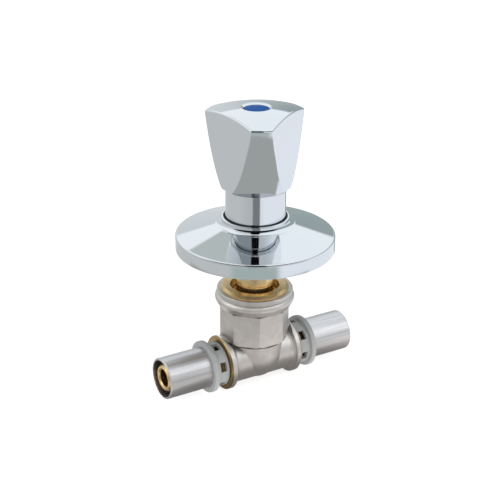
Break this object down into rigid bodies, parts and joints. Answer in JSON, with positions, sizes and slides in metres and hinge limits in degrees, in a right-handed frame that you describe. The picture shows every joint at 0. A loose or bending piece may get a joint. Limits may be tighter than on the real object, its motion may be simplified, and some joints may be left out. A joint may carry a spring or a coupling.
{
  "type": "concealed stop valve",
  "caption": "In-wall stop valve with press-on pipe tails, a long brass headwork, a chromed cover plate and a three-sided handle with a blue cap.",
  "frame": {"origin": "on the spindle's axis, in the wall face of the cover plate, which lies on the finished wall", "axes": "+Z out of the wall along the spindle to the handle, X along the pipe with the outlet end at +X, -Y towards the front of the picture"},
  "size_m": [0.093, 0.0688, 0.1268],
  "materials": {
    "nickel_brass": "satin nickel plating over brass, bare brass where it is machined",
    "brass": "turned and polished",
    "stainless": "satin drawn stainless steel",
    "ring_plastic": "matt moulded plastic, light grey",
    "rubber": "black rubber",
    "gasket_fibre": "pressed fibre",
    "spring_steel": "dark spring steel",
    "slip_plastic": "white low-friction plastic",
    "screw_steel": "plain steel",
    "chrome": "mirror chrome plating on brass",
    "handle_chrome": "mirror chrome plating on a die casting",
    "blue_cap": "glossy blue plastic"
  },
  "bodies": {
    "valve": {"valve_body": "nickel_brass", "left_press_sleeve": "stainless", "right_press_sleeve": "stainless", "left_sleeve_ring": "ring_plastic", "right_sleeve_ring": "ring_plastic", "left_tail_seal_1": "rubber", "left_tail_seal_2": "rubber", "right_tail_seal_1": "rubber", "right_tail_seal_2": "rubber", "headwork": "brass", "headwork_gasket": "gasket_fibre", "cover_tube": "chrome"},
    "handle": {"spindle": "brass", "spindle_seal_1": "rubber", "spindle_seal_2": "rubber", "spindle_clip": "spring_steel", "thrust_washer": "slip_plastic", "handle": "handle_chrome", "handle_screw": "screw_steel", "index_cap": "blue_cap"},
    "disc": {"disc_carrier": "brass", "seat_washer": "rubber", "washer_screw": "screw_steel"},
    "cover": {"rosette": "chrome", "rosette_seal": "rubber"}
  },
  "joints": [
    {"name": "handle_turn", "type": "hinge", "parent": "valve", "child": "handle", "pos_m": [0, 0, 0.02], "axis": [0, 0, 1], "range_deg": [0, 900]},
    {"name": "disc_lift", "type": "slide", "parent": "valve", "child": "disc", "axis": [0, 0, 1], "range_m": [0, 0.005]},
    {"name": "rosette_slide", "type": "slide", "parent": "valve", "child": "cover", "axis": [0, 0, 1], "range_m": [-0.006, 0.012]}
  ],
  "couplings": [
    {"joint": "disc_lift", "follows": "handle_turn", "m_per_rad": 0.0003183}
  ]
}
